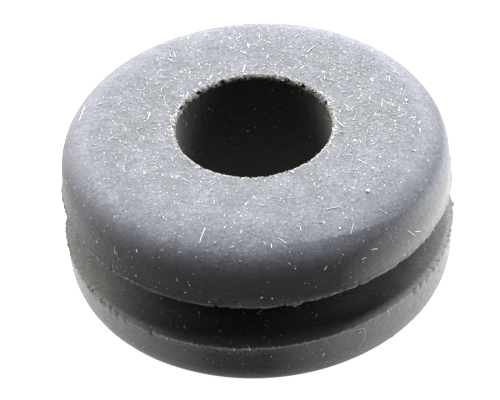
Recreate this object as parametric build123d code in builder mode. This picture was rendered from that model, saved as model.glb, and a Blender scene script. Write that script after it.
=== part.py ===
"""A rubber grommet: one moulded ring with a rounded flange at each end, a groove between them that takes
the edge of a panel, and a bore through the middle for a cable.

Millimetres, +Z along the bore. The origin is on the bore's axis, half way up the groove, where the middle
of the panel's thickness sits. Both flanges are alike, so half of the section is drawn and then mirrored.
"""

import os

from build123d import *

# The cable and the panel that the grommet is made for
bore_diameter = 6.0
panel_hole_diameter = 10.0
panel_thickness = 2.0

# The flanges that hold it in the panel
flange_diameter = 15.0
flange_thickness = 2.6

# The rounding of a flange: a slow crown leaves the flat face and runs into a tighter shoulder
crown_width = 2.2  # from the edge of the flange in to where the flat face begins
crown_radius = 3.3
shoulder_radius = 1.4
side_draft = 3.0  # degrees that the side leans in, so that the flange can leave its mould

# The fin of flash that the joint of the mould leaves around each rim of the groove
flash_width = 0.05
flash_thickness = 0.1

# The small breaks: the torn edge where the bore leaves a face, and the round at the foot of the groove
rim_break = 0.12
root_round = 0.25

bore_radius = bore_diameter / 2
root_radius = panel_hole_diameter / 2
flange_radius = flange_diameter / 2
groove_wall = panel_thickness / 2
face_height = groove_wall + flange_thickness

with BuildPart() as grommet:
    with BuildSketch(Plane.XZ) as section:
        with BuildLine():
            # Up the bore and out over the flat face
            bore_wall = Line((bore_radius, 0), (bore_radius, face_height))
            flat_face = Line(bore_wall @ 1, (flange_radius - crown_width, face_height))

            # Out along the wall of the groove and around the square end of the fin
            foot = Line((root_radius, 0), (root_radius, groove_wall))
            wall = Line(foot @ 1, (flange_radius + flash_width, groove_wall))
            fin_end = Line(wall @ 1, wall @ 1 + (0, flash_thickness))
            fin_back = Line(fin_end @ 1, fin_end @ 1 - (flash_width, 0))

            # The leaning side goes up until the crown comes down to meet it
            lean = PolarLine(fin_back @ 1, flange_thickness, angle=90 + side_draft, mode=Mode.PRIVATE)
            crown = JernArc(flat_face @ 1, flat_face % 1, crown_radius, lean)
            side = Line(fin_back @ 1, crown @ 1)

            middle = Line(bore_wall @ 0, foot @ 0)
        make_face()

        # The shoulder, the foot of the groove and the broken edge of the bore
        fillet(section.vertices().sort_by_distance(crown @ 1)[0], shoulder_radius)
        fillet(section.vertices().sort_by_distance(foot @ 1)[0], root_round)
        chamfer(section.vertices().sort_by_distance(bore_wall @ 1)[0], rim_break)

        # The other half of the section, below the middle of the panel
        mirror(about=Plane.XZ)
    revolve(axis=Axis.Z)
grommet.part.label = "grommet"

os.makedirs("parts", exist_ok=True)
export_step(grommet.part, "parts/grommet.step")

size = grommet.part.bounding_box().size
print(f"grommet: {size.X:.2f} x {size.Y:.2f} x {size.Z:.2f} mm, {grommet.part.volume:.1f} mm3")
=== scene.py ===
# %% [markdown]
# # A rubber grommet, seen very close
#
# A grommet is a ring of soft black rubber that lines a hole in a panel, so that a cable can pass without
# rubbing on the metal. This one is 15 mm across. At that distance three things make it look real: the
# rounding of its flanges, the torn edges where the mould closed, and the dust and lint that cling to rubber.
#
# The lesson starts from the packed CAD part, which fixes the size and the place of everything.

# %% The frame
import math
import random

import bpy
import numpy as np
from mathutils import Matrix, Vector, noise


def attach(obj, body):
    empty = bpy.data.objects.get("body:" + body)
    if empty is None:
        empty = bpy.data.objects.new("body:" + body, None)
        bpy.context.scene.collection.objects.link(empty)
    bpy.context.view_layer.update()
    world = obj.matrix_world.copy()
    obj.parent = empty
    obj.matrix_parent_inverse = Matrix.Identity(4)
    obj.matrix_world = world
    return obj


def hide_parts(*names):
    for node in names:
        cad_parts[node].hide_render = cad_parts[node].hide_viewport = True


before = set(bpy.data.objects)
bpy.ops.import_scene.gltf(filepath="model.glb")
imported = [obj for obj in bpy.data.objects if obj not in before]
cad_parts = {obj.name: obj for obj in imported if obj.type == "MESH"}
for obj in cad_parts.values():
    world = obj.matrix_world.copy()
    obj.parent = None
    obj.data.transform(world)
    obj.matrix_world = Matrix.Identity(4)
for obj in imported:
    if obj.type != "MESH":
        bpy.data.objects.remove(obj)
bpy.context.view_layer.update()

# %% [markdown]
# ## The camera
#
# The photograph looks down at the ring from about 40 degrees, from so far away that the near and the far
# side are almost the same size, and with the camera leaning a few degrees. A camera's own axes are the
# columns of its matrix, so the lean is made by turning those axes, and no angle has to be guessed by eye.
# The ring isn't quite in the middle of the picture: the camera is moved sideways for that, not shifted.

# %% The camera
MM = 0.001
WIDTH_PX, HEIGHT_PX = 500, 400
FOCAL_PX = 3871.0
DISTANCE = 150 * MM
ELEVATION = math.radians(40.46)
LEAN = math.radians(3.57)
MIDDLE_PX = (257.8, 196.8)

towards = Vector((0, -math.cos(ELEVATION), math.sin(ELEVATION)))
right = Vector((1, 0, 0))
up = Vector((0, math.sin(ELEVATION), math.cos(ELEVATION)))
camera_x = right * math.cos(LEAN) - up * math.sin(LEAN)
camera_y = right * math.sin(LEAN) + up * math.cos(LEAN)
per_px = DISTANCE / FOCAL_PX
aside = camera_x * (MIDDLE_PX[0] - WIDTH_PX / 2) + camera_y * (HEIGHT_PX / 2 - MIDDLE_PX[1])

bpy.ops.object.camera_add()
camera = bpy.context.object
camera.data.sensor_width = 36
camera.data.lens = 36 * FOCAL_PX / WIDTH_PX
camera.data.clip_start = 1 * MM
camera.data.clip_end = 10
axes = Matrix((camera_x, camera_y, towards)).transposed().to_4x4()
camera.matrix_world = Matrix.Translation(towards * DISTANCE - aside * per_px) @ axes
bpy.context.scene.camera = camera
print("one pixel is", round(per_px / MM, 4), "mm at the ring")

# %% [markdown]
# ## The section of the ring
#
# A turned or moulded ring is one section swept round an axis. Half of it is written down here as a list of
# points, from the bore over the face to the foot of the groove; the other half is the same list upside
# down. Points stand close together only where something small happens: at the torn rim of the bore and at
# the thin fin of flash. The rounding is a slow arc that runs into a tighter one.

# %% The two arcs of the rounding
BORE, FOOT, FLANGE = 3.0, 5.0, 7.5
GROOVE, FACE = 1.0, 3.6
CROWN_START, CROWN, SHOULDER, LEAN_IN = 5.3, 3.3, 1.4, math.radians(3)
FIN_HIGH, RIM_BREAK, FOOT_ROUND = 0.1, 0.12, 0.25


def arc(centre, radius, start, end, count):
    """Points on an arc, in degrees, without its first one."""
    turns = [math.radians(start + (end - start) * i / count) for i in range(1, count + 1)]
    return [(centre[0] + radius * math.cos(t), centre[1] + radius * math.sin(t)) for t in turns]


def arc_centres():
    """The middles of the tight arc and of the slow one; the tight one touches the leaning side as well."""
    crown_centre = Vector((CROWN_START, FACE - CROWN))
    outwards = Vector((math.cos(LEAN_IN), math.sin(LEAN_IN)))
    side_foot = Vector((FLANGE, GROOVE + FIN_HIGH)) - outwards * SHOULDER
    along = Vector((-math.sin(LEAN_IN), math.cos(LEAN_IN)))
    offset = side_foot - crown_centre
    b = offset.dot(along)
    c = offset.length_squared - (CROWN - SHOULDER) ** 2
    return side_foot + along * (-b + math.sqrt(b * b - c)), crown_centre


tight, slow = arc_centres()
meeting = math.degrees(math.atan2(tight.y - slow.y, tight.x - slow.x))
print("the two arcs meet at", round(meeting, 1), "degrees")

# %% [markdown]
# ### From the bore to the foot of the groove
#
# Each stretch of the section gets a name of its own, so that it can be found again when something has to
# change there. Adding them up gives the upper half.

# %% The section
bore_wall = [(BORE, z) for z in (0.0, 1.2, 2.4, 3.1)]
torn_rim = [(BORE, FACE - 0.22), (BORE, FACE - 0.17), (BORE, FACE - RIM_BREAK), (BORE + 0.04, FACE - 0.07)]
torn_rim += [(BORE + 0.08, FACE - 0.03), (BORE + RIM_BREAK, FACE), (BORE + 0.18, FACE), (BORE + 0.27, FACE)]
face = [(r, FACE) for r in (3.6, 4.4, CROWN_START)]
crown = arc(slow, CROWN, 90, meeting, 5)
shoulder = arc(tight, SHOULDER, meeting, 3, 7)
side = [(FLANGE - 0.013, 1.35), (FLANGE - 0.002, 1.16)]
fin = [(FLANGE, 1.1), (7.53, 1.1), (7.55, 1.085), (7.555, 1.05), (7.55, 1.015), (7.53, 1.0), (7.48, 1.0)]
wall = [(r, GROOVE) for r in (7.42, 7.34, 7.1, 6.2, FOOT + FOOT_ROUND)]
foot = arc((FOOT + FOOT_ROUND, GROOVE - FOOT_ROUND), FOOT_ROUND, 90, 180, 3)
half = bore_wall + torn_rim + face + crown + shoulder + side + fin + wall + foot
section = half + [(FOOT, 0.0)] + [(r, -z) for r, z in reversed(half[1:])]
print(len(section), "points in the section")

# %% [markdown]
# ## The rubber ring
#
# The section is drawn as a chain: one vertex is extruded from point to point, and the last point is the
# first one again. Spin then turns the chain once round the bore's axis. It could be a curve with a bevel or
# a Screw modifier too, but the spin leaves plain rings of vertices, and the torn edges below need those.
# The steps are small, because at the rim one step is about one pixel of the photograph. Spin gets slow when
# it makes many steps, so it makes one eighth of the ring, and then it copies that eighth seven times.

# %% The ring
STEPS, SECTORS = 1120, 8


def clear_selection():
    for thing in bpy.context.selected_objects:
        thing.select_set(False)


def chain_of_vertices(name, points):
    """A mesh object that is one closed chain of vertices through the points, in the plane y = 0."""
    clear_selection()
    bpy.ops.mesh.primitive_plane_add(size=MM, location=(0, 0, 0))
    thing = bpy.context.object
    thing.name = thing.data.name = name
    bpy.ops.object.mode_set(mode="EDIT")
    bpy.ops.mesh.select_all(action="SELECT")
    bpy.ops.mesh.merge(type="CENTER")
    bpy.ops.transform.translate(value=(points[0][0] * MM, 0, points[0][1] * MM))
    for (r0, z0), (r1, z1) in zip(points, points[1:] + points[:1]):
        step = ((r1 - r0) * MM, 0, (z1 - z0) * MM)
        bpy.ops.mesh.extrude_region_move(TRANSFORM_OT_translate={"value": step})
    return thing


ring = chain_of_vertices("grommet_rubber", section)
bpy.ops.mesh.select_all(action="SELECT")
bpy.ops.mesh.remove_doubles(threshold=1e-6)
bpy.ops.mesh.select_all(action="SELECT")
around_axis = {"center": (0, 0, 0), "axis": (0, 0, 1)}
bpy.ops.mesh.spin(steps=STEPS // SECTORS, angle=math.tau / SECTORS, **around_axis)
bpy.ops.mesh.select_all(action="SELECT")
bpy.ops.mesh.spin(steps=SECTORS - 1, angle=math.tau * (1 - 1 / SECTORS), dupli=True, **around_axis)
bpy.ops.mesh.select_all(action="SELECT")
bpy.ops.mesh.remove_doubles(threshold=1e-6)
bpy.ops.mesh.select_all(action="SELECT")
bpy.ops.mesh.normals_make_consistent(inside=False)
bpy.ops.object.mode_set(mode="OBJECT")
bpy.ops.object.shade_smooth()
print("ring:", len(ring.data.vertices), "vertices,", len(ring.data.polygons), "faces")

# %% [markdown]
# ## Reading the ring by place
#
# What comes next moves vertices by where they are. Three arrays say that for each vertex: its angle round
# the axis, and its place in the section before anything was moved. Perlin noise that is read on a circle
# gives an edge that meets itself again after one turn.

# %% Places and noise
places = np.empty(len(ring.data.vertices) * 3)
ring.data.vertices.foreach_get("co", places)
places = places.reshape(-1, 3) / MM
angle = np.arctan2(places[:, 1], places[:, 0])
radius = np.hypot(places[:, 0], places[:, 1])
height = places[:, 2].copy()
turns = np.linspace(-math.pi, math.pi, STEPS + 1)


def wave(size, seed, reach=7.5):
    """Noise between about -1 and 1 for each vertex, with bumps about size mm long at that radius."""
    k = reach / size
    once_round = [noise.noise((math.cos(t) * k, math.sin(t) * k, seed)) for t in turns]
    return np.interp(angle, turns, once_round)


def hump(x, width):
    """A smooth bump that is 1 in the middle and nearly 0 at width."""
    return np.exp(-((2 * x / width) ** 2))


def turn_from(a, degrees):
    """How far each angle lies from a place on the ring, in degrees."""
    return np.degrees(np.angle(np.exp(1j * (a - math.radians(degrees)))))


print("ring places read:", places.shape)

# %% [markdown]
# ## Soft rubber isn't quite true
#
# A part this soft is pulled out of its mould while warm, so its flanges wave by about a tenth of a
# millimetre. In the photograph the lower flange dips on the left and rises on the right. Long, low waves
# move whole rings, and the dip and the rise are two humps that fade towards the neck.

# %% Waviness
out = np.clip((radius - FOOT) / (FLANGE - FOOT), 0, 1) ** 2
low = (height < 0) * out * np.clip(1 + (height + GROOVE) / 2.0, 0, 1)
dip = 0.10 * hump(turn_from(angle, -132), 60) - 0.08 * hump(turn_from(angle, -50), 50)
around = wave(6.0, 3.1) * 0.035 + wave(2.5, 5.7) * 0.012
height_new = height - low * dip + out * around * np.sign(height) * 0.5
radius_new = radius + out * wave(4.0, 9.2) * 0.02
print("largest dip in mm:", round(float((low * dip).max()), 3))

# %% [markdown]
# ## The fin of flash
#
# Where the two halves of a mould meet, a film of rubber squeezes out and is torn off. What is left is a fin
# about as thick as a hair: here wider, there gone, with nicks where a crumb of the edge went with it. Each
# rim of the groove has one. Short noise sets how far the fin reaches, and each nick is a narrow hump that
# pulls the edge in.

# %% The torn fins
# Nicks of each fin: angles in degrees
LOWER_NICKS = [-171.5, -169.6, -164.2, -160.5, -152.5, -150.5, -149.0, -145.6, -144.2, -141.2, -138.4, -134.5]
LOWER_NICKS += [-125.5, -12.2, -14.9, -17.2, -20.1, -23.4, -26.5, -30.2, -34.0, -37.5, -40.8]
LOWER_NICKS += [48, 71, 96, 133, 158]
UPPER_NICKS = [-84.5, -104, -139, -62, -31, 17, 44, 88, 121, 151, 176]
# Rags of each fin, upper (1) and lower (-1): angle and width in degrees, how far out and up in mm
RAGS = {
    1: [(-81.5, 1.6, 0.03, -0.11), (-80.2, 0.9, 0.02, -0.06)],
    -1: [(0.2, 1.6, 0.09, 0.05), (-52.5, 1.2, 0.04, 0.03)],
}
NICK_DEPTH, NICK_WIDTH = (0.05, 0.11), (0.8, 1.5)
dice = random.Random(7)


def tear_fin(side_of, nicks, seed):
    """How far the vertices of one fin move out and up."""
    from_groove = side_of * height
    near = (from_groove > 0.9) & (from_groove < 1.3) & (radius > 7.3)
    tip = np.where(near, np.clip((radius - 7.49) / 0.05, 0, 1), 0)
    root = np.clip((radius - 7.36) / 0.14, 0, 1) ** 1.5 * np.clip((1.18 - from_groove) / 0.08, 0, 1)
    edge = np.where(near, root, 0)
    reach = 0.03 * wave(0.9, seed) + 0.035 * wave(0.25, seed + 3) + 0.03 * wave(0.11, seed + 5)
    curl = 0.03 * wave(0.7, seed + 8) + 0.03 * wave(0.2, seed + 9) - 0.015 * side_of
    depth = np.zeros(len(angle))
    for place in nicks:
        nick = dice.uniform(*NICK_DEPTH) * hump(turn_from(angle, place), dice.uniform(*NICK_WIDTH))
        depth = np.maximum(depth, nick)
    for place, wide, out_by, up_by in RAGS[side_of]:
        rag = hump(turn_from(angle, place), wide)
        reach += out_by * rag
        curl += up_by * rag
    return tip * (reach - 0.01) - edge * depth, tip * curl + edge * depth * 0.35 * side_of


for side_of, nicks, seed in ((1, UPPER_NICKS, 11.3), (-1, LOWER_NICKS, 29.8)):
    outwards, upwards = tear_fin(side_of, nicks, seed)
    radius_new += outwards
    height_new += upwards
print(len(LOWER_NICKS), "nicks on the lower fin,", len(UPPER_NICKS), "on the upper one")

# %% [markdown]
# ## The ragged rim of the bore
#
# The pin that forms the bore shuts against the mould at the face, and the film that creeps in between is
# torn off last. It leaves a crumbly lip with pits in it. The noise here is shorter and stronger than on
# the fins, in and out as well as up and down, and a few pits are set where the photograph shows them.

# %% The torn rims
# Pits of the upper rim: angle and width in degrees
RIM_PITS = [(132.5, 4.5), (146.2, 3.0), (152.8, 5.0), (111.0, 3.0)]
RIM_PITS += [(62.0, 3.5), (48.0, 4.0), (35.0, 5.0), (22.0, 3.0)]
LIP_OUT, LIP_UP, PIT_OUT, PIT_DOWN = 0.055, 0.045, 0.11, 0.05


def tear_rim(side_of, pits, seed):
    """How far the vertices at one rim of the bore move out and up."""
    from_middle = side_of * height
    near = (from_middle > FACE - 0.3) & (radius < BORE + 0.3)
    from_lip = np.hypot(radius - (BORE + 0.06), from_middle - (FACE - 0.05))
    from_pit = np.hypot(radius - BORE, from_middle - (FACE - 0.12))
    lip = np.where(near, np.clip(1.3 - from_lip / 0.16, 0, 1), 0)
    hollow = np.where(near, np.clip(1.2 - from_pit / 0.09, 0, 1), 0)
    ragged = 0.6 * wave(0.5, seed, BORE) + 0.7 * wave(0.17, seed + 2, BORE) + 0.4 * wave(0.09, seed + 3, BORE)
    crumbs = 0.8 * wave(0.24, seed + 4, BORE) + 0.6 * wave(0.1, seed + 6, BORE)
    depth = np.zeros(len(angle))
    for place, wide in pits:
        depth = np.maximum(depth, hump(turn_from(angle, place), wide))
    upwards = lip * (LIP_UP * crumbs + 0.008) - hollow * depth * PIT_DOWN
    return lip * LIP_OUT * ragged + hollow * depth * PIT_OUT, side_of * upwards


for side_of, seed in ((1, 41.7), (-1, 67.2)):
    outwards, upwards = tear_rim(side_of, RIM_PITS if side_of > 0 else [], seed)
    radius_new += outwards
    height_new += upwards

moved = np.stack([radius_new * np.cos(angle), radius_new * np.sin(angle), height_new], axis=-1) * MM
ring.data.vertices.foreach_set("co", moved.ravel())
ring.data.update()
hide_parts("grommet")
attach(ring, "root")
print("ring reaches", round(float(radius_new.max()), 3), "mm and", round(float(height_new.max()), 3), "mm")

# %% [markdown]
# ## Walking over the skin
#
# A crease, dust and lint all lie on the surface, so they need a way to ask where the surface is. A place on
# the skin is given by two numbers: the angle round the axis, and the distance walked along the section
# outwards from the upper rim of the bore; a distance below zero goes down into the bore. The section's own
# points answer that, with the normal that stands on it.

# %% Places on the skin
walk = np.array(section)
walked = np.concatenate([[0.0], np.cumsum(np.hypot(*np.diff(walk, axis=0).T))])
walked -= walked[section.index((BORE + RIM_BREAK, FACE))]
tangents = np.gradient(walk, walked, axis=0)
tangents /= np.hypot(*tangents.T)[:, None]
print("the walk goes from", round(float(walked[0]), 2), "to", round(float(walked[-1]), 2), "mm")


def on_skin(degrees, along, lift=0.0):
    """(place, outward normal, direction along the section, direction round the ring), in metres."""
    turn = math.radians(degrees)
    flat_out = Vector((math.cos(turn), math.sin(turn), 0))
    r, z = (float(np.interp(along, walked, walk[:, i])) for i in (0, 1))
    tr, tz = (float(np.interp(along, walked, tangents[:, i])) for i in (0, 1))
    onwards = (flat_out * tr + Vector((0, 0, tz))).normalized()
    normal = (flat_out * -tz + Vector((0, 0, tr))).normalized()
    return (flat_out * r + Vector((0, 0, z)) + normal * lift) * MM, normal, onwards, normal.cross(onwards)


for along in (0.5, 3.0, 5.0):
    print("at", along, "mm:", [round(v / MM, 2) for v in on_skin(-90, along)[0]])

# %% [markdown]
# ## The finish of the rubber
#
# The rubber itself is nearly black. What the photograph shows as pale blue-grey is mostly a bloom of very
# fine dust, thick where the surface looks up and absent where it faces down; some of the pale and dark in
# the colour is painted highlight and painted shade, as the sections below say. So masks are read from the
# surface's own normal and place, broken up by noise, and they mix the colours. That takes many small
# nodes. A small class keeps them short to write: each of its functions adds one kind of node, feeds it with
# numbers or with what comes out of other nodes, and hands back its own output.

# %% A finish and its nodes
class Finish:
    """A material and its nodes, with the object's own coordinates at hand as place and facing."""

    def __init__(self, name):
        self.material = bpy.data.materials.new(name)
        self.material.use_nodes = True
        self.nodes, self.links = self.material.node_tree.nodes, self.material.node_tree.links
        coordinates = self.nodes.new("ShaderNodeTexCoord").outputs
        self.place, self.facing = coordinates["Object"], coordinates["Normal"]

    def feed(self, sockets, name, value):
        """Links an output to a socket; a number, a vector or an (r, g, b) is set on it instead."""
        if isinstance(value, bpy.types.NodeSocket):
            self.links.new(value, sockets[name])
        else:
            sockets[name].default_value = (*value, 1) if sockets[name].type == "RGBA" else value

    def node(self, kind, **inputs):
        """Adds a node of that kind; an input is named with _ for a space."""
        made = self.nodes.new(kind)
        for name, value in inputs.items():
            self.feed(made.inputs, name.replace("_", " "), value)
        return made.outputs

    def surface(self, **inputs):
        """Feeds the surface shader."""
        for name, value in inputs.items():
            self.feed(self.nodes["Principled BSDF"].inputs, name.replace("_", " "), value)

    def parts(self, vector):
        """The x, y and z of a vector."""
        separate = self.node("ShaderNodeSeparateXYZ", Vector=vector)
        return [separate[name] for name in "XYZ"]

    def noise(self, scale, detail):
        """Noise on the piece, scale bumps to the metre."""
        inputs = {"Vector": self.place, "Scale": scale, "Detail": detail, "Roughness": 0.6}
        return self.node("ShaderNodeTexNoise", **inputs)["Fac"]

    def ramp(self, value, low, high, start=0.0, end=1.0):
        """Maps low..high to start..end, and goes no further."""
        ends = {"From_Min": low, "From_Max": high, "To_Min": start, "To_Max": end}
        return self.node("ShaderNodeMapRange", Value=value, **ends)["Result"]

    def math(self, operation, first, *others):
        """Works through the values from left to right."""
        for other in others:
            made = self.nodes.new("ShaderNodeMath")
            made.operation = operation
            self.feed(made.inputs, 0, first)
            self.feed(made.inputs, 1, other)
            first = made.outputs["Value"]
        return first

    def times(self, *values):
        return self.math("MULTIPLY", *values)

    def vector_math(self, operation, *vectors):
        made = self.nodes.new("ShaderNodeVectorMath")
        made.operation = operation
        for i, vector in enumerate(vectors):
            self.feed(made.inputs, i, vector)
        return made.outputs

    def mix(self, kind, amount, first, second):
        """From first to second as amount goes from 0 to 1, and on past 1; kind is FLOAT or RGBA."""
        made = self.nodes.new("ShaderNodeMix")
        made.data_type = kind
        made.clamp_factor = False
        for name, value in (("Factor", amount), ("A", first), ("B", second)):
            self.feed(made.inputs, name, value)
        return made.outputs["Result"]


print("a finish can add:", [name for name in vars(Finish) if not name.startswith("_")])

# %% [markdown]
# ## Moulded skin
#
# Bumps come in two sizes: the leathery grain that the mould leaves, and the grit of the dust. The rubber of
# the flanges and that of the bore both have them, so they are a function. The bore is the plainer one: a
# polished pin forms it, hardly any dust falls on its upright wall, and only a few grains stick at its left.

# %% Bore rubber
def moulded_skin(finish):
    """Leathery grain with grit on it, as bumps."""
    leather = finish.node("ShaderNodeBump", Strength=0.7, Distance=0.045 * MM, Height=finish.noise(5000, 4))
    small = {"Strength": 0.5, "Distance": 0.012 * MM, "Normal": leather["Normal"]}
    finish.surface(Normal=finish.node("ShaderNodeBump", Height=finish.noise(20000, 2), **small)["Normal"])


bore = Finish("bore_rubber")
at_left = bore.ramp(bore.parts(bore.place)[0], -0.0014, -0.0028)
grains = bore.times(bore.ramp(bore.noise(11000, 2), 0.58, 0.68), at_left)
bore.surface(
    Base_Color=bore.mix("RGBA", grains, (0.009, 0.009, 0.006), (0.045, 0.052, 0.06)),
    Roughness=bore.ramp(bore.noise(2500, 3), 0.3, 0.7, 0.5, 0.62),
    IOR=1.22,
    Sheen_Weight=0.12,
    Sheen_Roughness=0.5,
)
moulded_skin(bore)
print("material:", bore.material.name, "with", len(bore.nodes), "nodes")

# %% [markdown]
# ## Dusty black rubber: reading the surface
#
# Every mask below asks the same few things of the surface, so they are made once: how far it looks up, its
# place in metres, its distance from the bore's axis, and whether it lies above the groove.

# %% Reading the surface
skin = Finish("dusty_black_rubber")
upright = skin.ramp(skin.parts(skin.facing)[2], 0.0, 1.0)
x, y, z = skin.parts(skin.place)
flat_place = skin.vector_math("MULTIPLY", skin.place, (1, 1, 0))["Vector"]
reach = skin.vector_math("LENGTH", flat_place)["Value"]
above_groove = skin.ramp(z, -0.0006, 0.0006)
print("nodes that read the surface:", len(skin.nodes))

# %% [markdown]
# ## Where dust falls, and painted shade in the groove
#
# The bloom follows the upward part of the normal. Inside the groove it thins towards the front and the foot:
# partly dust that the upper flange shelters, and partly painted shade of the groove's dark front and depth.
# Broad noise makes it patchy, and two finer ones make it grainy, the finest only as far as the surface
# looks up.

# %% Where dust falls, and painted shade in the groove
looks_up = skin.math("POWER", upright, 1.05)
# painted shade: the groove is darker towards its front and its foot, partly also sheltered dust
groove_front_shade = skin.ramp(y, -0.0062, -0.0036, 0.02, 1.1)
groove_foot_shelter_and_shade = skin.ramp(reach, 0.0050, 0.0064, 0.12, 1.0)
outer_edge = skin.ramp(reach, 0.0068, 0.0075, 0.0, 0.5)
dust_and_groove_shade = skin.math("MAXIMUM", above_groove, skin.times(groove_front_shade, groove_foot_shelter_and_shade), outer_edge)

patchy = skin.ramp(skin.noise(1200, 4), 0.3, 0.7, 0.84, 1.16)
grainy = skin.ramp(skin.noise(6500, 2), 0.3, 0.7, 0.84, 1.16)
fine = skin.times(looks_up, skin.ramp(skin.noise(12000, 2), 0.54, 0.65, -0.06, 0.48), above_groove)
grainy = skin.math("ADD", grainy, fine)
print("nodes with the fall of dust:", len(skin.nodes))

# %% [markdown]
# ## Painted highlight and shade at a line on the shoulder
#
# At the right of the front, the shoulder turns from light to dark along a sharp line. It is a line that a
# plane cuts in the surface, so the distance from that plane says where it is: three places on the skin give
# the plane. Just above the line the colour is paler, a painted highlight, and just below it darker, a
# painted shade.

# %% Painted highlight and shade at a line
LIGHT_DARK_LINE = [(-78, 3.68), (-60, 3.92), (-45, 4.21)]
a, b, c = (on_skin(degrees, along)[0] for degrees, along in LIGHT_DARK_LINE)
line_plane_normal = (b - a).cross(c - a).normalized()
if line_plane_normal.z < 0:
    line_plane_normal.negate()
rise = skin.vector_math("DOT_PRODUCT", skin.place, line_plane_normal)["Value"]
rise = skin.math("SUBTRACT", rise, line_plane_normal.dot(a))
# painted highlight just above the line, painted shade just below it
painted_highlight_above = skin.times(skin.ramp(rise, -0.00002, 0.00003), skin.ramp(rise, 0.0006, 0.00005, 0.0, 0.3))
shade = skin.times(skin.ramp(rise, 0.00002, -0.00004), skin.ramp(rise, -0.0003, 0.0, 0.0, -0.25))
at_right_front = skin.times(skin.ramp(x, 0.0009, 0.0026), skin.ramp(y, -0.0044, -0.0056), above_groove)
line_highlight_and_shade = skin.times(skin.math("ADD", painted_highlight_above, shade), at_right_front)
print("the crease's plane faces", [round(v, 2) for v in line_plane_normal])

# %% [markdown]
# ## Bloom and film, with painted light
#
# The bloom is what fell from above, with the painted highlight and shade of the line on the shoulder and the
# painted shade of the groove in it. The flanks carry a pale film besides, part dust and part a painted
# highlight of the light that grazes them: stronger at the right, at both sides low down, and weak at the
# back. The stronger of the two counts, and it goes past 1 at the right, so the mix has to run on there.

# %% Bloom and film, with painted light
bloom_and_painted_light = skin.times(looks_up, dust_and_groove_shade, patchy, skin.math("ADD", line_highlight_and_shade, 1.0))
# painted highlight on the flanks, over some dust: strongest at the right and low down at the sides
left_dust_and_sheen, right_dust_and_sheen = skin.ramp(x, -0.002, -0.0062, 0.04, 1.35), skin.ramp(x, 0.0, 0.0062, 0.04, 1.9)
low_dust_and_sheen = skin.math("MAXIMUM", left_dust_and_sheen, right_dust_and_sheen)
high_dust_and_sheen = skin.times(skin.ramp(x, 0.0028, 0.0066, 0.03, 1.4), skin.ramp(z, 0.0020, 0.0012, 1.0, 1.6))
on_flank = skin.ramp(reach, 0.0070, 0.0074)
weaker_at_back = skin.ramp(y, 0.0005, 0.0040, 1.0, 0.3)
flank_dust_and_sheen = skin.times(on_flank, skin.mix("FLOAT", above_groove, low_dust_and_sheen, high_dust_and_sheen), weaker_at_back)
dust_and_painted_light = skin.times(skin.math("MAXIMUM", bloom_and_painted_light, flank_dust_and_sheen), grainy)
print("nodes with bloom and film:", len(skin.nodes))

# %% [markdown]
# ## The colours of the dust, and a painted highlight
#
# The dust on the flat face is a little blue, and in the groove and on the flanks it is neutral. The slope of
# the shoulder is bluer and paler still: that is a painted bluish highlight on the dust.

# %% The colours of the dust, and a painted highlight
FACE_DUST, SHOULDER_DUST_AND_HIGHLIGHT = (0.120, 0.124, 0.136), (0.132, 0.136, 0.158)
GROOVE_DUST, FLANK_DUST_AND_SHEEN = (0.112, 0.116, 0.109), (0.122, 0.120, 0.116)
CLEAN_RUBBER = (0.003, 0.003, 0.0025)

slanted = skin.times(skin.ramp(upright, 0.25, 0.6), skin.ramp(upright, 1.0, 0.92))
rounding = skin.times(slanted, skin.ramp(z, 0.0012, 0.0017))
dust_and_highlight_colour = skin.mix("RGBA", skin.ramp(upright, 0.1, 0.4), FLANK_DUST_AND_SHEEN, FACE_DUST)
# painted bluish highlight on the slope of the shoulder
dust_and_highlight_colour = skin.mix("RGBA", rounding, dust_and_highlight_colour, SHOULDER_DUST_AND_HIGHLIGHT)
dust_and_highlight_colour = skin.mix("RGBA", skin.ramp(z, 0.0006, -0.0006), dust_and_highlight_colour, GROOVE_DUST)
rubber_colour = skin.mix("RGBA", dust_and_painted_light, CLEAN_RUBBER, dust_and_highlight_colour)
print("nodes with the colours:", len(skin.nodes))

# %% [markdown]
# ## Torn edges, and painted highlight on the fins
#
# Where a fin or a rim was torn off, the rubber is paler and crumbly. On the fins the pale colour is put only
# at the front of the lower fin and towards the right of the upper one, where their edges catch the light, so
# there it is a painted highlight as well as torn rubber. Noise through a steep ramp makes the crumbs.

# %% Torn edges, and painted highlight on the fins
TORN_RUBBER_AND_HIGHLIGHT = (0.22, 0.215, 0.18)
# painted highlight: the fins are pale only where their edges catch the light
lower_fin_highlight = skin.ramp(y, -0.0040, -0.0065, 0.05, 0.55)
upper_fin_highlight = skin.ramp(x, -0.0030, 0.0050, 0.0, 0.9)
fin_highlight_side = skin.mix("FLOAT", above_groove, lower_fin_highlight, upper_fin_highlight)
torn_fin_highlight = skin.times(skin.ramp(reach, 0.00748, 0.00752), fin_highlight_side)
off_middle = skin.math("ABSOLUTE", z, 0)
at_rim = skin.times(skin.ramp(reach, 0.00319, 0.00314), skin.ramp(off_middle, 0.00336, 0.00342))
crumbly = skin.ramp(skin.noise(8000, 3), 0.42, 0.58, 0.02, 1.0)
torn_and_fin_highlight = skin.times(skin.math("MAXIMUM", torn_fin_highlight, at_rim), crumbly)
print("nodes with the torn edges:", len(skin.nodes))

# %% [markdown]
# ## The surface itself
#
# Rubber this dusty has almost no gloss, so the index of refraction is low. Fine dust does brighten towards
# its outline, and that is what sheen is for.

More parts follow.
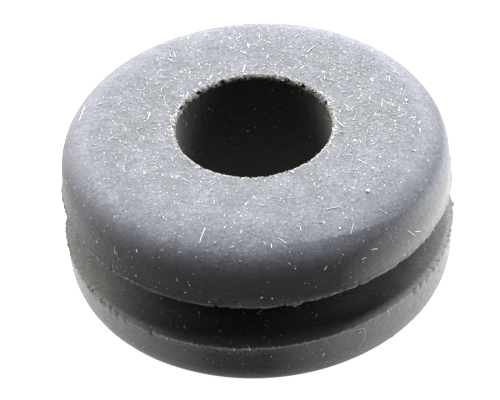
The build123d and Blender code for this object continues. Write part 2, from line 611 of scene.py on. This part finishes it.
# %% The surface itself
skin.surface(
    Base_Color=skin.mix("RGBA", torn_and_fin_highlight, rubber_colour, TORN_RUBBER_AND_HIGHLIGHT),
    Roughness=skin.ramp(skin.noise(2500, 3), 0.3, 0.7, 0.42, 0.56),
    IOR=1.15,
    Sheen_Weight=0.22,
    Sheen_Roughness=0.5,
    Sheen_Tint=(0.96, 0.97, 1.0),
)
moulded_skin(skin)
print("material:", skin.material.name, "with", len(skin.nodes), "nodes")

# %% [markdown]
# ## Which rubber goes where
#
# The ring is one piece with two material slots. A face belongs to the bore if its middle lies on the bore's
# wall, below the torn rim, and all the others are dusty.

# %% Rubber on the ring
ring.data.materials.append(skin.material)
ring.data.materials.append(bore.material)
middles = np.empty(len(ring.data.polygons) * 3)
ring.data.polygons.foreach_get("center", middles)
middles = middles.reshape(-1, 3) / MM
in_bore = (np.hypot(middles[:, 0], middles[:, 1]) < BORE + 0.03) & (np.abs(middles[:, 2]) < FACE - 0.22)
ring.data.polygons.foreach_set("material_index", in_bore.astype(np.int32))
print(int(in_bore.sum()), "faces in the bore")

# %% [markdown]
# ## Dust
#
# Each speck is a crumb of one to three pixels, so a handful of faces is enough: an icosphere, squashed and
# stretched. The one crumb is modelled once. Its copies are turned, sized and set on the skin, thick on the
# face, thinner over the shoulder and nearly absent on the sides, and then they are one mesh.

# %% One crumb
clear_selection()
bpy.ops.mesh.primitive_ico_sphere_add(subdivisions=1, radius=0.5, location=(0, 0, 0))
crumb = bpy.context.object
bpy.ops.object.mode_set(mode="EDIT")
bpy.ops.mesh.select_all(action="SELECT")
bpy.ops.transform.resize(value=(1, 0.8, 0.6))
bpy.ops.object.mode_set(mode="OBJECT")
print("one crumb:", len(crumb.data.polygons), "faces")

# %% [markdown]
# ### Strewing the specks
#
# Dice that start from a fixed number fall the same way in each run. A place is drawn anywhere on the skin,
# and a second throw decides whether a speck stays there, so the dusty stretches fill up and the clean ones
# don't. More of them cling to the torn rim, and the ones that stand out in the photograph are listed one by
# one.

# %% Where the specks lie
# Distance along the section in mm, and how likely a speck is to stay there
DUSTINESS = [
    (-3.6, 0.05), (-0.3, 0.07), (0, 1), (2.2, 1), (2.8, 0.7), (3.4, 0.3), (4.2, 0.2), (6.2, 0.3),
    (6.4, 0.05), (12.0, 0.85), (13.3, 0.8), (14.2, 0.45), (17.4, 0.1),
]
# Specks that stand out: angle, distance along the section, length and width
NAMED_SPECKS = [
    (-46.0, 2.79, 0.2, 0.17), (-50.8, 3.17, 0.1, 0.06), (179.8, 2.31, 0.09, 0.08),
    (-172.5, 1.81, 0.1, 0.08), (147.8, 1.29, 0.08, 0.07), (149.8, 1.93, 0.09, 0.07),
    (176.0, 2.45, 0.07, 0.06), (-176.2, 0.25, 0.07, 0.06), (70.2, 1.79, 0.12, 0.09),
    (15.8, 1.11, 0.11, 0.08), (9.5, 2.87, 0.18, 0.1), (-18.0, 3.19, 0.18, 0.08),
    (-19.5, 3.81, 0.16, 0.1), (31.5, 0.03, 0.2, 0.12), (-80.8, 2.73, 0.1, 0.08),
    (-68.8, 3.09, 0.1, 0.08), (-71.0, 2.99, 0.08, 0.07), (-63.8, 3.59, 0.1, 0.09),
    (-60.0, 3.31, 0.08, 0.07), (-76.0, 2.91, 0.07, 0.06), (-105.0, 3.51, 0.09, 0.07),
    (-131.2, 3.71, 0.09, 0.06), (-129.0, 4.59, 0.14, 0.06), (-96.5, 4.15, 0.12, 0.06),
    (-110.2, 4.81, 0.12, 0.05), (-90.8, 5.71, 0.15, 0.06), (-87.8, 5.79, 0.07, 0.06),
    (-129.2, 5.73, 0.1, 0.08), (-74.5, 13.65, 0.1, 0.08), (-75.2, 14.81, 0.08, 0.07),
    (-54.2, 13.03, 0.08, 0.07), (-60.2, 13.23, 0.08, 0.07),
]


def chance(along):
    """How likely a speck is to stay at that distance along the section."""
    return float(np.interp(along, *zip(*DUSTINESS)))


def open_share(along, turn):
    """The share of the dust that stays: less at the front of the upper flange, and less at the left below."""
    if along < 6.3:
        return 1.0 - 0.65 * max(0.0, -math.sin(turn))
    return 0.2 + 0.35 * max(0.0, math.cos(turn))


dice = random.Random(20)
specks = []
while len(specks) < 4700:
    along, degrees = dice.uniform(-3.4, 17.4), dice.uniform(-180, 180)
    r = float(np.interp(along, walked, walk[:, 0]))
    if dice.random() < chance(along) * open_share(along, math.radians(degrees)) * r / FLANGE:
        fine = 1.0 if along < 3.2 else 0.75
        long = fine * min(0.2, 0.045 + dice.expovariate(1 / 0.032))
        wide = min(long, fine * dice.uniform(0.028, 0.052))
        specks.append((degrees, along, long, wide, dice.uniform(0, math.pi)))
for _ in range(420):
    degrees, along = dice.uniform(-180, 180), dice.gauss(-0.02, 0.07)
    long, wide = dice.uniform(0.04, 0.12), dice.uniform(0.03, 0.055)
    specks.append((degrees, along, long, wide, dice.uniform(0, 3)))
specks += [(*speck, dice.uniform(0, math.pi)) for speck in NAMED_SPECKS]
print(len(specks), "specks, and", len(NAMED_SPECKS), "of them stand out")

# %% [markdown]
# ### Setting the specks on the skin
#
# Each copy of the crumb has its own mesh. It is scaled to its length and width, turned so that it lies flat
# on the surface, and lifted by half its height, so that it rests there and doesn't float. Then all are
# joined.

# %% Dust specks
def joined(pieces, name):
    """Joins many small mesh objects, a few hundred at a time, which is much quicker than all at once."""
    while len(pieces) > 1:
        batches = [pieces[i:i + 250] for i in range(0, len(pieces), 250)]
        for batch in batches:
            clear_selection()
            for piece in batch:
                piece.select_set(True)
            bpy.context.view_layer.objects.active = batch[0]
            bpy.ops.object.join()
        pieces = [batch[0] for batch in batches]
    pieces[0].name = pieces[0].data.name = name
    return pieces[0]


copies = []
for degrees, along, long, wide, twist in specks:
    place, normal, onwards, sideways = on_skin(degrees, along, 0.3 * wide)
    u = onwards * math.cos(twist) + sideways * math.sin(twist)
    turned = Matrix((u * long * MM, normal.cross(u) * wide * MM, normal * wide * MM)).transposed().to_4x4()
    copy = bpy.data.objects.new("speck", crumb.data.copy())
    copy.data.transform(Matrix.Translation(place) @ turned)
    bpy.context.collection.objects.link(copy)
    copies.append(copy)
bpy.data.objects.remove(crumb)
dust = joined(copies, "dust_specks")
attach(dust, "root")
print(len(specks), "specks,", len(dust.data.polygons), "faces")

# %% [markdown]
# ## Lint
#
# Lint is cut textile fibre: thin, bent, brighter than the dust and much longer than it is thick. A curve
# with a small bevel is the natural tool. Each fibre is a short spline whose points walk over the skin, and
# the whole tuft is turned into one mesh at the end. The ones that catch the eye in the photograph are
# given as lists of places on the skin, and the rest are strewn.

# %% Fibres that catch the eye
# Each fibre is a list of places: angle in degrees, distance along the section in mm
FAINT_LINT = [
    [(51.8, 1.13), (50.2, 1.45), (46, 1.65), (41.8, 1.55)], [(30.2, 3.05), (27.5, 3.21), (23.5, 3.37)],
    [(-7.2, 1.53), (-3.8, 1.99)],
    [(-65.5, 13.25), (-62.8, 13.17), (-60.5, 13.29), (-60.2, 13.93), (-62.5, 14.37)],
    [(-32.2, 13.83), (-26.2, 14.71)],
]
PLAIN_LINT = [
    [(168.5, 3.75), (160.8, 3.77)], [(114, 0.89), (117.8, 1.09), (116.5, 1.31), (113.8, 1.27), (109, 1.27)],
    [(169.5, 1.37), (166.8, 1.21)], [(11.8, 1.99), (6.8, 1.85)], [(-32.5, 1.43), (-34, 2.31)],
    [(-137.8, 0.93), (-128.5, 0.91)], [(-65.2, 2.59), (-59, 2.75)],
    [(-109.5, 2.95), (-109.8, 3.27), (-109.8, 3.61)], [(-84.2, 3.35), (-82, 3.59)],
    [(-100, 2.49), (-99, 2.65)], [(-92.2, 1.09), (-90.8, 1.29)], [(-58.8, 3.61), (-61.5, 3.95)],
    [(-32, 12.81), (-33.5, 12.97), (-33.5, 13.17), (-33.5, 13.35)],
]
BOLD_LINT = [
    [(94.2, 1.47), (90.8, 1.23)], [(92.8, 0.53), (94.8, 0.13)], [(163.8, 0.97), (170, 0.97)],
    [(171.5, 0.8), (171.5, 0.6)], [(117.8, 0.25), (114.5, 0.41)], [(61.8, 1.69), (61, 2.15)],
    [(85.2, 2.52), (85.2, 2.21)], [(70.5, 2.45), (70, 2.73)], [(25, 2.83), (22.5, 2.59), (21.2, 2.69)],
    [(18.5, 0.75), (19.8, 1.01)], [(-1.2, 2.87), (0, 3.07)], [(-1.8, 3.23), (-3.5, 3.19)],
    [(-17.2, 0), (-14.2, 0.08), (-12.2, 0.33)], [(2.8, 0), (-6, 0.17), (-8, 0.39)],
    [(42.5, 0.65), (39.5, 0.73), (35.5, 0.93)], [(-48.5, 3.63), (-47, 3.95)],
    [(-86.8, 3.55), (-86.8, 3.71)], [(-52.8, 13.05), (-51.2, 13.09), (-52, 13.43)],
    [(-42.5, 4.99), (-39.5, 5.53)], [(-39.2, 5.37), (-36.5, 5.61)],
]
print(len(FAINT_LINT + PLAIN_LINT + BOLD_LINT), "fibres set by hand")

# %% [markdown]
# ### The strewn fibres, and all of them as one mesh
#
# A strewn fibre starts where a speck could lie, takes three steps over the skin and turns a little at each.
# NURBS splines of order 3 round off the corners, and every fibre arches up a little in its middle.

# %% Lint fibres
dice = random.Random(31)
strewn = []
while len(strewn) < 280:
    along, degrees = dice.uniform(-0.1, 15.0), dice.uniform(-180, 180)
    if dice.random() < chance(along) * (1.0 if degrees > 0 else 0.6):
        heading = dice.uniform(0, math.tau)
        length, bend = min(0.6, 0.1 + dice.expovariate(1 / 0.09)), dice.uniform(-1.2, 1.2)
        r = float(np.interp(along, walked, walk[:, 0]))
        fibre = [(degrees, along)]
        for _ in range(3):
            heading += bend * 0.5
            degrees += math.degrees(math.cos(heading) * length / 3 / r)
            along = max(0.02, along + math.sin(heading) * length / 3)
            fibre.append((degrees, along))
        strewn.append(fibre)

lint_curve = bpy.data.curves.new("lint_fibres", "CURVE")
lint_curve.dimensions = "3D"
lint_curve.bevel_depth = 0.011 * MM
lint_curve.bevel_resolution = 0
lint_curve.resolution_u = 3
lint_curve.use_fill_caps = True
for fibres, thick in ((FAINT_LINT, 0.5), (PLAIN_LINT, 0.95), (BOLD_LINT, 1.2), (strewn, 0.85)):
    for fibre in fibres:
        spline = lint_curve.splines.new("NURBS")
        spline.points.add(len(fibre) - 1)
        for i, (point, (degrees, along)) in enumerate(zip(spline.points, fibre)):
            arch = 0.02 + 0.03 * math.sin(math.pi * i / (len(fibre) - 1))
            point.co = (*on_skin(degrees, along, arch)[0], 1)
            point.radius = thick
        spline.order_u = min(3, len(fibre))
        spline.use_endpoint_u = True
lint = bpy.data.objects.new("lint_fibres", lint_curve)
bpy.context.collection.objects.link(lint)
clear_selection()
lint.select_set(True)
bpy.context.view_layer.objects.active = lint
bpy.ops.object.convert(target="MESH")
lint = bpy.context.object
lint.data.name = "lint_fibres"
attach(lint, "root")
print(len(lint_curve.splines), "fibres,", len(lint.data.polygons), "faces")

# %% [markdown]
# ## The finish of dust and lint
#
# Both are pale and dull. Dust is mineral and textile grit, some grains nearly white and some as grey as the
# bloom under them; lint is cleaner and brighter. Noise on the object's own coordinates makes that change
# from grain to grain, and along a fibre.

# %% Dust and lint materials
GREY_GRAIN, WHITE_GRAIN = (0.17, 0.17, 0.175), (0.78, 0.77, 0.77)
DULL_FIBRE, BRIGHT_FIBRE = (0.55, 0.54, 0.53), (0.92, 0.90, 0.90)

grit = Finish("dust_grit")
brightness = grit.ramp(grit.noise(9000, 1), 0.38, 0.64)
grit.surface(Base_Color=grit.mix("RGBA", brightness, GREY_GRAIN, WHITE_GRAIN), Roughness=0.8)
dust.data.materials.append(grit.material)

textile = Finish("lint_fibre")
brightness = textile.ramp(textile.noise(500, 1), 0.35, 0.65)
textile.surface(Base_Color=textile.mix("RGBA", brightness, DULL_FIBRE, BRIGHT_FIBRE), Roughness=0.6)
lint.data.materials.append(textile.material)
print("materials:", grit.material.name, "and", textile.material.name)

# %% [markdown]
# ## The stage
#
# The photograph was taken on a white ground so bright that it burns out to pure white, without a shadow. A
# light table does that: an opal sheet that glows by itself. The room around it stays dark, so that no light
# comes from the camera's side. A dark room would show above the table in a level view, so a backdrop with
# the same finish closes it off, and only the camera sees that: it lights nothing.

# %% Floor and backdrop
table = Finish("light_table")
table.surface(Base_Color=(0.25, 0.25, 0.25), Roughness=0.9, Emission_Color=(1, 1, 1), Emission_Strength=1.0)

clear_selection()
bpy.ops.mesh.primitive_plane_add(size=3.0, location=(0, 0, -FACE * MM))
floor = bpy.context.object
floor.name = "pale_floor"

clear_selection()
bpy.ops.mesh.primitive_uv_sphere_add(segments=48, ring_count=24, radius=0.75, location=(0, 0, 0))
backdrop = bpy.context.object
backdrop.name = "pale_backdrop"
bpy.ops.object.shade_smooth()
backdrop.visible_diffuse = backdrop.visible_glossy = backdrop.visible_transmission = False
backdrop.visible_shadow = backdrop.visible_volume_scatter = False

for part_of_stage in (floor, backdrop):
    part_of_stage.data.materials.append(table.material)
print("stage:", floor.name, backdrop.name)

# %% [markdown]
# ## The light
#
# Large soft lamps stand behind and beside the ring, and none in front: that is why its top is bright, its
# front dark, and the edge of its shoulder soft. Three stand round the back, one at each side, and one hangs
# overhead. A lamp is told how bright its panel should look, and its power is worked out from that and its
# size, so a lamp can be made larger without getting brighter.

# %% Lights
def from_angle(azimuth, elevation, distance=0.5):
    """A place around the ring, by compass angle from +X and height angle."""
    a, e = math.radians(azimuth), math.radians(elevation)
    return Vector((math.cos(a) * math.cos(e), math.sin(a) * math.cos(e), math.sin(e))) * distance


def soft_lamp(name, place, width, depth, radiance, colour):
    """A rectangular lamp that faces the ring; radiance is how bright its panel looks."""
    lamp = bpy.data.lights.new(name, "AREA")
    lamp.shape = "RECTANGLE"
    lamp.size, lamp.size_y = width, depth
    lamp.energy = radiance * math.pi * width * depth
    lamp.color = colour
    made = bpy.data.objects.new(name, lamp)
    bpy.context.collection.objects.link(made)
    made.matrix_world = Matrix.Translation(place) @ place.to_track_quat("Z", "Y").to_matrix().to_4x4()
    made.visible_camera = False
    return made


# Compass angle, height angle, width, depth, radiance, colour
LAMPS = {
    "back_right_softbox": (48, 52, 0.30, 0.26, 20.5, (0.97, 0.98, 1.0)),
    "back_left_softbox": (132, 38, 0.30, 0.50, 12.8, (1.0, 0.98, 0.96)),
    "back_softbox": (68, 25, 0.54, 0.26, 2.6, (1, 1, 1)),
    "right_softbox": (12, 20, 0.30, 0.26, 7.0, (1, 1, 1)),
    "left_softbox": (165, 28, 0.30, 0.26, 2.6, (1, 1, 1)),
    "overhead_softbox": (90, 78, 0.30, 0.26, 5.0, (1, 1, 1)),
}
lamps = [soft_lamp(name, from_angle(*facts[:2]), *facts[2:]) for name, facts in LAMPS.items()]
print("lamps:", [lamp.name for lamp in lamps])

# %% [markdown]
# ## The room
#
# The room gives next to no light, and the view transform is the plain one, so that white stays white and
# the dark rubber isn't lifted.

# %% The room
room = bpy.data.worlds.new("dim_room")
room.use_nodes = True
room.node_tree.nodes["Background"].inputs["Strength"].default_value = 0.003
bpy.context.scene.world = room
bpy.context.scene.view_settings.view_transform = "Standard"
print("colours are shown as they are, with the view", bpy.context.scene.view_settings.view_transform)
